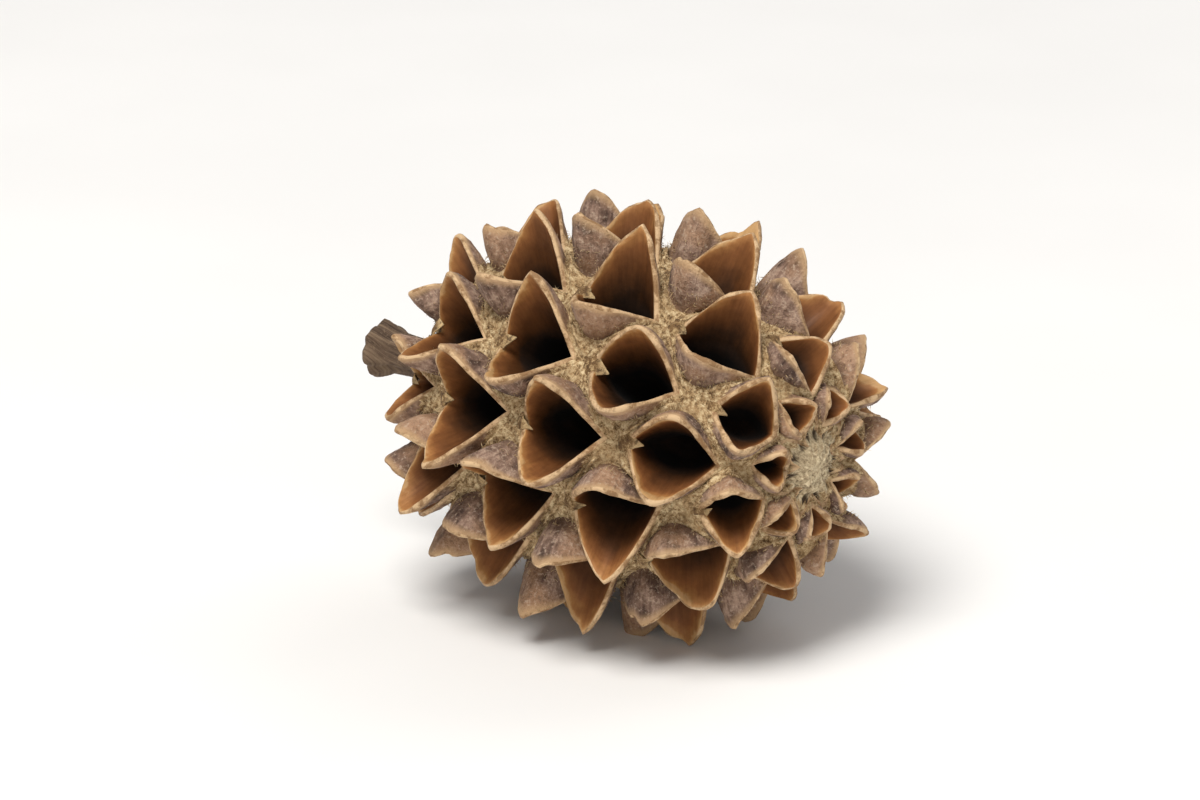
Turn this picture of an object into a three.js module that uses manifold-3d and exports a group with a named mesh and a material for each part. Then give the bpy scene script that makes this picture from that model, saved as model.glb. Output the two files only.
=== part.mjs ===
// Casuarina cone: a small woody seed cone lying on its side.
//
// The cone grew as one piece, so it is one closed solid. Rings of seed chambers, called
// whorls here, stand along its axis, and each whorl is turned by half a step against the
// next, so the mouths make a net of lozenges. Each mouth has two pointed valves that gape
// apart round the axis. The cone ends in a small disc with rays, and on a short stalk.
// Its axis lies along X with the disc at +X, and it rests on flats worn on its lowest tips.

import * as THREE from 'three';
import { mergeVertices } from 'three/addons/utils/BufferGeometryUtils.js';
import Module from 'manifold-3d';

// Driving dimensions in millimetres, angles in degrees

const MEMBERS = 7;                  // chambers in one whorl
const FIRST_WHORL = -1;             // the smallest whorl, round the disc
const LAST_WHORL = 7;               // the last whorl, round the stalk
const TOP_ROW = 4;                  // the row of mouths that faces straight up

// The surface that the corners of the mouths lie in, as x and radius, one point for each
// half step of the net from the edge of the disc to the foot of the stalk
const SKIN = [
  [0.00, 1.15],
  [-0.15, 2.45],
  [-0.90, 3.87],
  [-2.95, 5.05],
  [-5.20, 5.85],
  [-7.55, 6.26],
  [-9.90, 6.34],
  [-12.25, 6.12],
  [-14.50, 5.56],
  [-16.35, 4.55],
  [-17.55, 3.10],
];

const MOUTH_ACROSS = 0.67;          // half of a mouth across, as a share of its lozenge
const MOUTH_ALONG = 0.72;           // half of a mouth along the axis, as a share likewise
const SECOND_ALONG = 0.60;          // the same in the second whorl, where the skin turns
const FIRST_ACROSS = 0.42;          // the tiny mouths round the disc
const FIRST_ALONG = 0.46;
const MOUTH_ROUND = 1.8;            // how blunt the mouth is where the valves' tips stand
const MOUTH_POINT = 0.85;           // how pointed it is at its corners
const VALVE_RISE = 0.86;            // height of a tip over the corners, as a share likewise
const VALVE_ROUND = 1.60;           // how blunt the tip of a valve is
const VALVE_POINT = 0.80;           // how steeply its rim comes down to the corners
const VALVE_WALL = 0.62;            // thickness of a valve at its rim
const FOOT_ACROSS = 0.78;           // where a valve's back meets the saddle, as a share of its rim
const FOOT_LIFT = -0.08;            // height of that line
const VALLEY_LIFT = 0.10;           // the fuzzy saddle between four mouths
const RIDGE_LIFT = 0.75;            // the wall that two slanting neighbours share
const THROAT_DEPTH = 0.75;          // where a chamber is as wide as it gets
const THROAT_SHARE = 0.52;          // its width there, as a share of the mouth
const FLOOR_RADIUS = 2.9;           // how near the axis the chambers reach
const FLOOR_SHARE = 0.26;           // their width at the floor, as a share of the mouth

const DISC_RADIUS = 0.72;           // the blunt domed disc at the tip of the cone
const DISC_X = 0.34;
const RAY_LIFT = 0.10;              // the rays that run out from the disc

const STALK_NECK = 0.92;            // radius where the stalk leaves the cone
const STALK_WAIST = 0.80;
const STALK_END = 1.24;             // radius of the flared scar where it fell off the twig
const STALK_LENGTH = 4.3;
const STALK_BEND = 0.55;            // how far the stalk's end hangs to one side

const REST_TRIM = 0.48;             // how much the lowest tips are worn flat

const ROWS = 2 * MEMBERS;
const ROW_STEP = Math.PI / MEMBERS;
const QUARTERS = 4;                 // steps along one side of a lozenge
const RING = 4 * QUARTERS;

// Seeded draws

// A number from -1 to 1 that depends only on the two numbers given and the seed.
function draw(a, b, seed) {
  const wave = Math.sin(a * 12.9898 + b * 78.233 + seed * 37.719) * 43758.5453;
  return 2 * (wave - Math.floor(wave)) - 1;
}

// The skin of the cone

const skinCurve = new THREE.SplineCurve(SKIN.map(([x, r]) => new THREE.Vector2(x, r)));

// Where whorl position t lies on the skin's section, and which way the skin faces there.
function section(t) {
  const share = (t - FIRST_WHORL + 1) / (SKIN.length - 1);
  const held = Math.min(1, Math.max(0, share));
  const point = skinCurve.getPoint(held);
  const along = skinCurve.getTangent(held);
  return { x: point.x, radius: point.y, along, out: new THREE.Vector2(along.y, -along.x) };
}

// A point at whorl position t and row position k, lifted along the skin's normal.
function skinPoint(k, t, lift) {
  const s = section(t);
  const angle = Math.PI / 2 + (k - TOP_ROW) * ROW_STEP;
  const radius = s.radius + lift * s.out.y;
  return new THREE.Vector3(
    s.x + lift * s.out.x,
    -radius * Math.cos(angle),
    radius * Math.sin(angle),
  );
}

// One chamber with its two valves

// The seat of the chamber at row k and whorl j: its place, its axes and its size.
function chamber(k, j) {
  const s = section(j);
  const angle = Math.PI / 2 + (k - TOP_ROW) * ROW_STEP;
  const round = new THREE.Vector3(0, Math.sin(angle), Math.cos(angle));
  const outY = -Math.cos(angle);
  const outZ = Math.sin(angle);
  const along = new THREE.Vector3(s.along.x, s.along.y * outY, s.along.y * outZ);
  const out = new THREE.Vector3(s.out.x, s.out.y * outY, s.out.y * outZ);
  const halfRound = s.radius * ROW_STEP;
  const before = section(j - 1);
  const after = section(j + 1);
  const halfAlong = 0.5 * Math.hypot(after.x - before.x, after.radius - before.radius);
  const tiny = j === FIRST_WHORL;
  const wide = tiny ? FIRST_ACROSS : MOUTH_ACROSS;
  const later = j === FIRST_WHORL + 1 ? SECOND_ALONG : MOUTH_ALONG;
  const long = tiny ? FIRST_ALONG : later;
  return {
    k,
    j,
    centre: skinPoint(k, j, 0),
    round,
    along,
    out,
    halfRound,
    halfAlong,
    across: wide * halfRound * (1 + 0.10 * draw(k, j, 1)),
    length: long * halfAlong * (1 + 0.04 * draw(k, j, 2)),
    rise: VALVE_RISE * halfRound * (tiny ? 0.9 : 1) * (1 + 0.12 * draw(k, j, 3)),
    twist: THREE.MathUtils.degToRad(5) * draw(k, j, 4),
    lopsided: 0.10 * draw(k, j, 5),
    floorDepth: Math.max(0.9, Math.min(4.0, (s.radius - FLOOR_RADIUS) / Math.max(0.55, s.out.y))),
  };
}

// A place given in a chamber's own axes: round the cone, along it and out of it.
function place(c, round, along, out) {
  const turn = Math.cos(c.twist);
  const lean = Math.sin(c.twist);
  return c.centre.clone()
    .addScaledVector(c.round, round * turn - along * lean)
    .addScaledVector(c.along, round * lean + along * turn)
    .addScaledVector(c.out, out);
}

// Step m of a ring: how far it is from a valve's tip to a corner, and on which sides.
function ringStep(m, count) {
  const side = count / 4;
  const quadrant = Math.floor(m / side);
  const i = m % side;
  const share = quadrant % 2 === 0 ? i / side : 1 - i / side;
  return {
    share,
    signRound: quadrant === 0 || quadrant === 3 ? 1 : -1,
    signAlong: quadrant < 2 ? 1 : -1,
  };
}

// Half the mouth's width at a share of the way from its middle to its corner.
function mouthWidth(share) {
  return Math.pow(1 - Math.pow(share, MOUTH_ROUND), MOUTH_POINT);
}

// Height of the rim there.
function rimHeight(share) {
  return Math.pow(1 - Math.pow(share, VALVE_ROUND), VALVE_POINT);
}

// The inner line of the rim, where the valve's lining starts.
function rimInner(c, m) {
  const s = ringStep(m, RING);
  const tall = 1 + s.signRound * c.lopsided;
  return place(
    c,
    s.signRound * c.across * mouthWidth(s.share) * tall,
    s.signAlong * c.length * s.share,
    c.rise * rimHeight(s.share) * tall,
  );
}

// The outer line of the rim. It keeps inside the chamber's own lozenge.
function rimOuter(c, m) {
  const s = ringStep(m, RING);
  const tall = 1 + s.signRound * c.lopsided;
  const width = c.across * mouthWidth(s.share) * tall;
  const along = c.length * s.share;
  const inside = width / c.halfRound + along / c.halfAlong;
  const slope = Math.hypot(1 / c.halfRound, 1 / c.halfAlong);
  const room = Math.max(0.02, (0.97 - inside) / slope);
  const tip = 1 - s.share;
  const free = VALVE_WALL * (1 + 0.08 * tip);
  const wall = THREE.MathUtils.lerp(
    Math.min(free, room),
    Math.min(free, 0.55 * c.halfRound),
    tip * tip,
  );
  const angle = s.share * Math.PI / 2;
  return place(
    c,
    s.signRound * (width + wall * Math.cos(angle)),
    s.signAlong * (along + wall * 0.8 * Math.sin(angle)),
    c.rise * (rimHeight(s.share) * tall - 0.03) - 0.05 * s.share,
  );
}

// The foot of a valve's back, where it rises out of the saddle.
function valveFoot(c, m) {
  const s = ringStep(m, RING);
  const tip = 1 - s.share;
  const rim = rimOuter(c, m);
  const reach = c.across * mouthWidth(s.share) + VALVE_WALL;
  const foot = place(c, s.signRound * FOOT_ACROSS * reach, s.signAlong * c.length * s.share, FOOT_LIFT);
  const drawn = c.j > FIRST_WHORL + 1 ? 0.95 : 0.45;
  return rim.lerp(netPoint(c, m), 0.5).lerp(foot, tip * (2 - tip) * drawn);
}

// The side of the lozenge, which this chamber shares with its neighbour.
function netPoint(c, m) {
  const s = ringStep(m, RING);
  const k = c.k + s.signRound * (1 - s.share);
  const t = c.j + s.signAlong * s.share;
  return netVertex(k, t);
}

// A point of the net of lozenges, the same for every chamber that meets there.
function netVertex(k, t) {
  const quarter = Math.round(t * QUARTERS);
  const row = ((Math.round(k * QUARTERS) % (ROWS * QUARTERS)) + ROWS * QUARTERS) % (ROWS * QUARTERS);
  const off = ((quarter % QUARTERS) + QUARTERS) % QUARTERS;
  const ridge = Math.sin(Math.PI * off / QUARTERS);
  const fade = Math.min(1, section(t).radius / 6.5);
  const lift = THREE.MathUtils.lerp(VALLEY_LIFT, RIDGE_LIFT, ridge) * fade;
  const shake = off === 0 ? 1 : 0.5;
  return skinPoint(
    row / QUARTERS + 0.04 * shake * draw(row, quarter, 6),
    t + 0.04 * shake * draw(row, quarter, 7),
    lift + 0.12 * shake * draw(row, quarter, 8),
  );
}

// The lining of a chamber, where it is widest below the mouth.
function throat(c, m) {
  const s = ringStep(m, RING);
  return place(
    c,
    s.signRound * c.across * THROAT_SHARE * mouthWidth(s.share),
    s.signAlong * c.length * 0.90 * s.share,
    -Math.min(THROAT_DEPTH, 0.4 * c.floorDepth),
  );
}

// The floor of a chamber, with half as many corners.
function floorPoint(c, m) {
  const s = ringStep(m, RING / 2);
  return place(
    c,
    s.signRound * c.across * FLOOR_SHARE * mouthWidth(s.share),
    s.signAlong * c.length * 0.42 * s.share,
    -c.floorDepth,
  );
}

// Building the closed surface

const corners = [];
const faces = [];
const netIndex = new Map();

// Adds a corner and gives its number.
function addCorner(point) {
  corners.push(point);
  return corners.length - 1;
}

// Adds a point of the net once, however many chambers ask for it.
function addNetCorner(k, t) {
  const row = ((Math.round(k * QUARTERS) % (ROWS * QUARTERS)) + ROWS * QUARTERS) % (ROWS * QUARTERS);
  const key = `${row} ${Math.round(t * QUARTERS)}`;
  if (!netIndex.has(key)) {
    netIndex.set(key, addCorner(netVertex(k, t)));
  }
  return netIndex.get(key);
}

// A flat or bent face with four corners, as two triangles cut the shorter way.
function addQuad(a, b, c, d) {
  if (corners[a].distanceTo(corners[c]) < corners[b].distanceTo(corners[d])) {
    faces.push([a, b, c], [a, c, d]);
  } else {
    faces.push([a, b, d], [b, c, d]);
  }
}

// Joins two rings that have as many corners.
function joinRings(outer, inner) {
  outer.forEach((a, i) => {
    const n = (i + 1) % outer.length;
    addQuad(a, outer[n], inner[n], inner[i]);
  });
}

// Joins a ring to one with half as many corners.
function halveRing(outer, inner) {
  inner.forEach((b, i) => {
    const n = inner[(i + 1) % inner.length];
    const p = outer[2 * i];
    const q = outer[2 * i + 1];
    const r = outer[(2 * i + 2) % outer.length];
    faces.push([p, q, b], [q, n, b], [q, r, n]);
  });
}

// Closes a ring with a point in its middle.
function closeRing(ring, middle) {
  ring.forEach((a, i) => faces.push([a, ring[(i + 1) % ring.length], middle]));
}

// The numbers of a ring's corners, each placed by a rule.
function makeRing(count, rule) {
  return Array.from({ length: count }, (_, m) => addCorner(rule(m)));
}

// Builds one chamber from its lozenge inwards.
function buildChamber(k, j) {
  const c = chamber(k, j);
  const net = Array.from({ length: RING }, (_, m) => {
    const s = ringStep(m, RING);
    return addNetCorner(k + s.signRound * (1 - s.share), j + s.signAlong * s.share);
  });
  const rim = makeRing(RING, (m) => rimOuter(c, m));
  const lip = makeRing(RING, (m) => rimInner(c, m));
  if (j > FIRST_WHORL) {
    const foot = makeRing(RING, (m) => valveFoot(c, m));
    joinRings(net, foot);
    joinRings(foot, rim);
  } else {
    joinRings(net, rim);
  }
  joinRings(rim, lip);
  const neck = makeRing(RING, (m) => throat(c, m));
  joinRings(lip, neck);
  const floor = makeRing(RING / 2, (m) => floorPoint(c, m));
  halveRing(neck, floor);
  closeRing(floor, addCorner(place(c, 0, 0, -c.floorDepth - 0.15)));
}

for (let j = FIRST_WHORL; j <= LAST_WHORL; j += 1) {
  for (let k = 0; k < ROWS; k += 1) {
    if ((k + j + 2) % 2 === 0) {
      buildChamber(k, j);
    }
  }
}

// The two ends

// The jagged edge that the lozenges leave at an end, from row to row.
function endEdge(whorl, side) {
  return Array.from({ length: ROWS * QUARTERS }, (_, i) => {
    const k = i / QUARTERS;
    const near = Math.round(k);
    const seat = (near + whorl + 2) % 2 === 0 ? near : (k >= near ? near + 1 : near - 1);
    const away = Math.abs(k - seat);
    return addNetCorner(k, whorl + side * (1 - away));
  });
}

// A ring round the axis, waved by a rule and moved across to follow the stalk.
function axisRing(count, x, radius, wave, shiftY, shiftZ) {
  return makeRing(count, (i) => {
    const k = i * ROWS / count;
    const angle = Math.PI / 2 + (k - TOP_ROW) * ROW_STEP;
    const r = radius * (1 + wave(k));
    return new THREE.Vector3(x, shiftY - r * Math.cos(angle), shiftZ + r * Math.sin(angle));
  });
}

// The disc with its rays, closing the +X end
const discEdge = endEdge(FIRST_WHORL, -1).reverse();
const rays = makeRing(ROWS * 2, (i) => {
  const k = ROWS - (i + 0.5) / 2 - 0.25;
  const angle = Math.PI / 2 + (k - TOP_ROW) * ROW_STEP;
  const onRay = Math.cos(MEMBERS * (k - TOP_ROW) * ROW_STEP);
  const radius = DISC_RADIUS * 1.38;
  return new THREE.Vector3(
    DISC_X - 0.24 + RAY_LIFT * onRay,
    -radius * Math.cos(angle),
    radius * Math.sin(angle),
  );
});
const disc = makeRing(ROWS, (i) => {
  const angle = Math.PI / 2 + (ROWS - i - 0.5 - TOP_ROW) * ROW_STEP;
  const radius = DISC_RADIUS * (1 + 0.06 * draw(i, 0, 9));
  return new THREE.Vector3(DISC_X, -radius * Math.cos(angle), radius * Math.sin(angle));
});
halveRing(discEdge, rays);
halveRing(rays, disc);
closeRing(disc, addCorner(new THREE.Vector3(DISC_X + 0.12, 0, 0)));

// The shoulder and the stalk, closing the other end
const footX = SKIN[SKIN.length - 1][0];
const calm = () => 0;
const ribs = (k) => 0.07 * Math.cos(MEMBERS * k * ROW_STEP) + 0.05 * draw(k, 1, 10);
const baseEdge = endEdge(LAST_WHORL, 1);
const shoulder = axisRing(ROWS * 2, footX - 0.35, STALK_NECK + 0.95, calm, 0, 0);
const neckRing = axisRing(ROWS, footX - 0.60, STALK_NECK, ribs, 0, 0);
halveRing(baseEdge, shoulder);
halveRing(shoulder, neckRing);
let last = neckRing;
const stalkSteps = [
  [0.25, STALK_WAIST * 1.04],
  [0.55, STALK_WAIST],
  [0.80, STALK_WAIST * 1.12],
  [0.94, STALK_END],
  [1.00, STALK_END * 0.93],
];
stalkSteps.forEach(([share, radius]) => {
  const x = footX - 0.60 - STALK_LENGTH * share;
  const ring = axisRing(ROWS, x, radius, ribs, -STALK_BEND * share * share, 0.4 * STALK_BEND * share);
  joinRings(last, ring);
  last = ring;
});
const scar = new THREE.Vector3(footX - 0.60 - STALK_LENGTH + 0.1, -STALK_BEND, 0.4 * STALK_BEND);
closeRing(last, addCorner(scar));

// The finished solid

const wasm = await Module();
wasm.setup();

// Turns a closed geometry into a solid that can be cut.
function toSolid(geometry) {
  geometry.deleteAttribute('normal');
  geometry.deleteAttribute('uv');
  const merged = mergeVertices(geometry, 1e-5);
  return new wasm.Manifold(new wasm.Mesh({
    numProp: 3,
    vertProperties: new Float32Array(merged.attributes.position.array),
    triVerts: new Uint32Array(merged.index.array),
  }));
}

// Turns a solid back into a geometry.
function toGeometry(solid) {
  const mesh = solid.getMesh();
  const geometry = new THREE.BufferGeometry();
  geometry.setAttribute('position', new THREE.BufferAttribute(new Float32Array(mesh.vertProperties), 3));
  geometry.setIndex(new THREE.BufferAttribute(new Uint32Array(mesh.triVerts), 1));
  return geometry;
}

const grown = new THREE.BufferGeometry();
grown.setAttribute('position', new THREE.Float32BufferAttribute(corners.flatMap((p) => p.toArray()), 3));
grown.setIndex(faces.flat());
grown.computeBoundingBox();
const rough = grown.boundingBox;

// The lowest tips are cut level, so that the cone lies still
const below = new THREE.BoxGeometry(80, 80, 20);
below.translate(0, 0, rough.min.z + REST_TRIM - 10);
const rested = toGeometry(toSolid(grown).subtract(toSolid(below)));

// The origin is under the middle of the cone, on the surface it rests on
rested.computeBoundingBox();
const box = rested.boundingBox;
rested.translate(-(box.min.x + box.max.x) / 2, -(box.min.y + box.max.y) / 2, -box.min.z);
rested.computeVertexNormals();

const wood = new THREE.MeshStandardMaterial({ color: 0x8a6448, roughness: 0.85, metalness: 0 });
const cone = new THREE.Mesh(rested, wood);
cone.name = 'cone';

const part = new THREE.Group();
part.name = 'casuarina_cone';
part.add(cone);

export default part;
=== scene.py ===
"""The casuarina cone as it looks: its valves, felted saddles, tip disc and stalk, on a pale floor.

The cone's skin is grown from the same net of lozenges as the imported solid, in millimetres along
the cone's own axis, and then moved into the frame. Everything that is made is in metres.
"""

import logging
import math
from collections.abc import Iterator
from contextlib import contextmanager
from dataclasses import dataclass, field
from enum import Enum, IntEnum

import bpy
import numpy as np
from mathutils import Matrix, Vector, noise


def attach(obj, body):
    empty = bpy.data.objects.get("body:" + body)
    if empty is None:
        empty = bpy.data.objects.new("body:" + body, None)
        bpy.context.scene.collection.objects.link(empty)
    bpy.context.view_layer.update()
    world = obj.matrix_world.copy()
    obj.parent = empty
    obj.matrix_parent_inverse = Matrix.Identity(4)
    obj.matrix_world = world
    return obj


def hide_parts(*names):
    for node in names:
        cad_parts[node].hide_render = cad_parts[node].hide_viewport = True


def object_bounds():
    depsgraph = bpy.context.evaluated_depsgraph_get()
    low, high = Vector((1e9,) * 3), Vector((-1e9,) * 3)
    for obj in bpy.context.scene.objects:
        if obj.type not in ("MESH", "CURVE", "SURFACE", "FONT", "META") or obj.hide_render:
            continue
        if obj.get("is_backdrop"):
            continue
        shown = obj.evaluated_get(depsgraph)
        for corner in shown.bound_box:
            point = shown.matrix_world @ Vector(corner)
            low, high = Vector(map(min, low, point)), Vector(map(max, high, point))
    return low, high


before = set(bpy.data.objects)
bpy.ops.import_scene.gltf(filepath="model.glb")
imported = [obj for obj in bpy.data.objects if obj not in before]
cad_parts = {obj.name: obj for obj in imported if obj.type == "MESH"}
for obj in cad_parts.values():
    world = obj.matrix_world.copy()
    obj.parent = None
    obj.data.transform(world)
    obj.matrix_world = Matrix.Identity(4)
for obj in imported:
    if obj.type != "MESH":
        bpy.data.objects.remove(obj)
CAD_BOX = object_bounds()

LOG = logging.getLogger("cone")
Array = np.ndarray
Mesh, Object = bpy.types.Mesh, bpy.types.Object
Material, Socket = bpy.types.Material, bpy.types.NodeSocket

MM = 0.001
TURN, QUARTER_TURN = 2 * math.pi, math.pi / 2
# Where the cone's own axis, in millimetres, lies in the frame.
SHIFT = np.array([10.85035, 0.01495, 8.46208])
# How far apart the rings of a modelled unit are, until each copy gives them their places.
RING_GAP = 0.1
# The skin keeps a number for each corner, named depth, that says where it lies: 0 on the net, 4 at
# the throat, and these at the foot of a valve, from the outer to the inner edge of its rim, at the
# chamber's floor, on the disc and on the neck, which has the saddles' finish.
FOOT, RIM, INSIDE, FLOOR, DISC, NECK = 1.0, 2.0, 3.0, 5.2, 6.0, 0.3
# The place along the axis that parts the disc's half of the cone from the stalk's half.
MIDDLE_X = -8.0


class Draw(IntEnum):
    """Which random draw is which, so that each has numbers of its own."""

    MOUTH_WIDTH, MOUTH_LENGTH, VALVE_RISE, TWIST, LOPSIDED = 1, 2, 3, 4, 5
    NET_ROW, NET_WHORL, NET_LIFT = 6, 7, 8
    LOT, BLUNT, PEAK, LEAN, GAPE, WAVE, CHIP_PLACE, CHIP_DEPTH, RIM_WIDTH = range(11, 20)
    BRACT_WIDTH, BRACT_LENGTH, BRACT_LEAN, BRACT_POINTS = 22, 23, 24, 25
    BRACT_LIFT, BRACT_BENDS, BRACT_PLACE = 26, 27, 28


# ---------------------------------------------------------------- small tools


def draw(a: Array | float, b: Array | float, which: int) -> Array:
    """Gives numbers from -1 to 1 that depend only on a, on b and on which draw it is."""
    wave = np.sin(np.asarray(a) * 12.9898 + np.asarray(b) * 78.233 + which * 37.719) * 43758.5453
    return 2 * (wave - np.floor(wave)) - 1


def smooth(low: float, high: float, x: Array) -> Array:
    """Gives 0 below low, 1 above high and a smooth step between them."""
    u = np.clip((x - low) / (high - low), 0, 1)
    return u * u * (3 - 2 * u)


def ripple(points: Array, size: float, octaves: int, which: float) -> Array:
    """Gives points smooth noise from about -1 to 1, whose largest lumps have that size."""
    shift = Vector((which * 17.1, which * 5.3, which * 9.7))
    return np.array([noise.fractal(Vector(p) / size + shift, 1.0, 2.0, octaves) for p in points])


def polar(points: Array) -> tuple[Array, Array]:
    """Gives how far points are from the cone's axis, and their angles round it."""
    return np.hypot(points[:, 1], points[:, 2]), np.arctan2(points[:, 2], points[:, 1])


def around(x: Array, radius: Array, angle: Array) -> Array:
    """Gives points from their places along the axis, distances from it and angles round it."""
    return np.stack([x, radius * np.cos(angle), radius * np.sin(angle)], -1)


def bow(start: Array, middle: Array, end: Array, shares: tuple[float, ...]) -> list[Array]:
    """Gives a line at each share of the way from start to end, on arcs drawn towards middle."""
    return [start * (1 - u) ** 2 + middle * (2 * u * (1 - u)) + end * u ** 2 for u in shares]


def linear(hex_colour: str) -> tuple[float, float, float, float]:
    """Turns a colour as it looks on a screen into the numbers that a shader reads.

    Args:
        hex_colour: The colour as #rrggbb.

    Returns:
        Red, green, blue and alpha, linear.
    """
    parts = [int(hex_colour[i:i + 2], 16) / 255 for i in (1, 3, 5)]
    flat = [c / 12.92 if c <= 0.04045 else ((c + 0.055) / 1.055) ** 2.4 for c in parts]
    return (flat[0], flat[1], flat[2], 1.0)


@contextmanager
def edited(obj: Object, pick: str = "SELECT") -> Iterator[None]:
    """Holds a piece in edit mode for as long as the block under it runs, with no other selected.

    Args:
        obj: The piece.
        pick: SELECT for all of it, DESELECT for nothing, or no text for what already is.
    """
    bpy.ops.object.select_all(action="DESELECT")
    obj.select_set(True)
    bpy.context.view_layer.objects.active = obj
    bpy.ops.object.mode_set(mode="EDIT")
    if pick:
        bpy.ops.mesh.select_all(action=pick)
    yield
    bpy.ops.object.mode_set(mode="OBJECT")


def closed_wall(obj: Object) -> None:
    """Turns a piece's faces outwards, once its doubles are merged."""
    with edited(obj):
        bpy.ops.mesh.normals_make_consistent(inside=False)


def read(items: object, name: str, width: int = 1, kind: type = float) -> Array:
    """Reads one property of all a mesh's corners, edges, faces or loops.

    Args:
        items: The collection that holds them.
        name: The property.
        width: How many numbers it has for each.
        kind: What the numbers are.

    Returns:
        A row for each, or just a number where width is 1.
    """
    flat = np.zeros(len(items) * width, kind)
    items.foreach_get(name, flat)
    return flat.reshape(-1, width) if width > 1 else flat


def unit_corners(unit: Object) -> Array:
    """Reads the corners of a modelled unit, as they are in its mesh."""
    return read(unit.data.vertices, "co", 3)


def places(mesh: Mesh) -> Array:
    """Reads a mesh's corners in millimetres along the cone's axis."""
    return read(mesh.vertices, "co", 3) / MM - SHIFT


def put(mesh: Mesh, points: Array) -> None:
    """Writes a mesh's corners, given in millimetres along the cone's axis."""
    write(mesh, (points + SHIFT) * MM)


def write(mesh: Mesh, points: Array) -> None:
    """Writes a mesh's corners, given in metres in the frame."""
    mesh.vertices.foreach_set("co", points.astype(np.float32).ravel())
    mesh.update()


def facing(mesh: Mesh) -> Array:
    """Reads the direction that each corner of a mesh faces."""
    return read(mesh.vertex_normals, "vector", 3)


def kept(mesh: Mesh, name: str) -> Array:
    """Reads the numbers that a mesh keeps for its corners under a name."""
    return read(mesh.attributes[name].data, "value")


def keep(mesh: Mesh, name: str, values: Array) -> None:
    """Keeps one number for each corner of a mesh under a name that materials read."""
    found = mesh.attributes.get(name) or mesh.attributes.new(name, "FLOAT", "POINT")
    found.data.foreach_set("value", values.astype(np.float32))


def face_corners(mesh: Mesh) -> tuple[Array, Array, Array]:
    """Reads the corner of every loop, and each face's first loop and number of loops."""
    starts, totals = (read(mesh.polygons, name, 1, int) for name in ("loop_start", "loop_total"))
    return read(mesh.loops, "vertex_index", 1, int), starts, totals


def face_mean(mesh: Mesh, values: Array) -> Array:
    """Averages numbers kept for corners over each face."""
    corners, starts, totals = face_corners(mesh)
    return np.add.reduceat(values[corners], starts) / totals


def grain_of(mesh: Mesh) -> Array:
    """Reads the map named grain, two numbers for each corner of each face."""
    return read(mesh.uv_layers["grain"].data, "uv", 2)


def set_grain(mesh: Mesh, grain: Array) -> None:
    """Keeps two numbers for each corner as the map named grain."""
    layer = mesh.uv_layers.new(name="grain")
    layer.data.foreach_set("uv", grain[face_corners(mesh)[0]].astype(np.float32).ravel())


def smooth_faces(mesh: Mesh) -> None:
    """Shades every face of a mesh smooth."""
    mesh.polygons.foreach_set("use_smooth", np.ones(len(mesh.polygons), bool))
    mesh.update()


def many_copies(name: str, unit: Object, points: Array) -> Object:
    """Makes one piece of many copies of a small modelled unit, each with its own corners.

    Args:
        name: The new piece's name.
        unit: The modelled unit, which is then removed.
        points: Copies by corners by three, in millimetres along the cone's axis.

    Returns:
        The new piece.
    """
    corners, starts, totals = face_corners(unit.data)
    count, size = points.shape[:2]
    faces = [corners[a:a + n] for a, n in zip(starts, totals)]
    every = [(face + size * i).tolist() for i in range(count) for face in faces]
    mesh = bpy.data.meshes.new(name)
    mesh.from_pydata(((points.reshape(-1, 3) + SHIFT) * MM).tolist(), [], every)
    smooth_faces(mesh)
    obj = bpy.data.objects.new(name, mesh)
    bpy.context.scene.collection.objects.link(obj)
    bpy.data.objects.remove(unit)
    return obj


def settle(obj: Object, name: str) -> Object:
    """Makes a finished piece part of the cone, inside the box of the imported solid.

    Args:
        obj: The finished piece.
        name: The name it gets.

    Returns:
        The same piece.
    """
    obj.name = name
    obj.data.name = name
    write(obj.data, np.clip(unit_corners(obj), *np.array(CAD_BOX)))
    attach(obj, "root")
    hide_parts("cone")
    LOG.info("%s: %d faces", name, len(obj.data.polygons))
    return obj


# ---------------------------------------------------------------- finishes


SPAN_INPUTS = ("Value", "From Min", "From Max", "To Min", "To Max")


class Node(Enum):
    """The kinds of node in the finishes: Blender's name, its inputs in order, output, settings."""

    PLACE = ("TexCoord", (), "Object", {})
    GRAIN = ("UVMap", (), "UV", {"uv_map": "grain"})
    KEPT = ("Attribute", (), "Fac", {})
    STRETCH = ("Mapping", ("Vector", "Scale"), 0, {})
    NOISE = ("TexNoise", ("Vector", "Scale", "Detail", "Roughness"), "Fac", {})
    SPAN = ("MapRange", SPAN_INPUTS, "Result", {"interpolation_type": "SMOOTHSTEP"})
    LINE = ("MapRange", SPAN_INPUTS, "Result", {})
    PLUS = ("Math", (0, 1), 0, {"operation": "ADD"})
    LESS = ("Math", (0, 1), 0, {"operation": "SUBTRACT"})
    TIMES = ("Math", (0, 1), 0, {"operation": "MULTIPLY"})
    MOST = ("Math", (0, 1), 0, {"operation": "MAXIMUM"})
    MIX = ("Mix", (0, 6, 7), 2, {"data_type": "RGBA"})
    TINT = ("Mix", (0, 6, 7), 2, {"data_type": "RGBA", "blend_type": "MULTIPLY"})
    RAMP = ("ValToRGB", ("Fac",), "Color", {})
    BUMP = ("Bump", ("Height", "Distance", "Normal"), "Normal", {})


def scale(width: float) -> float:
    """Turns the width of a pattern's lumps, in millimetres, into a texture's scale."""
    return 1 / (width * MM)


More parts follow.
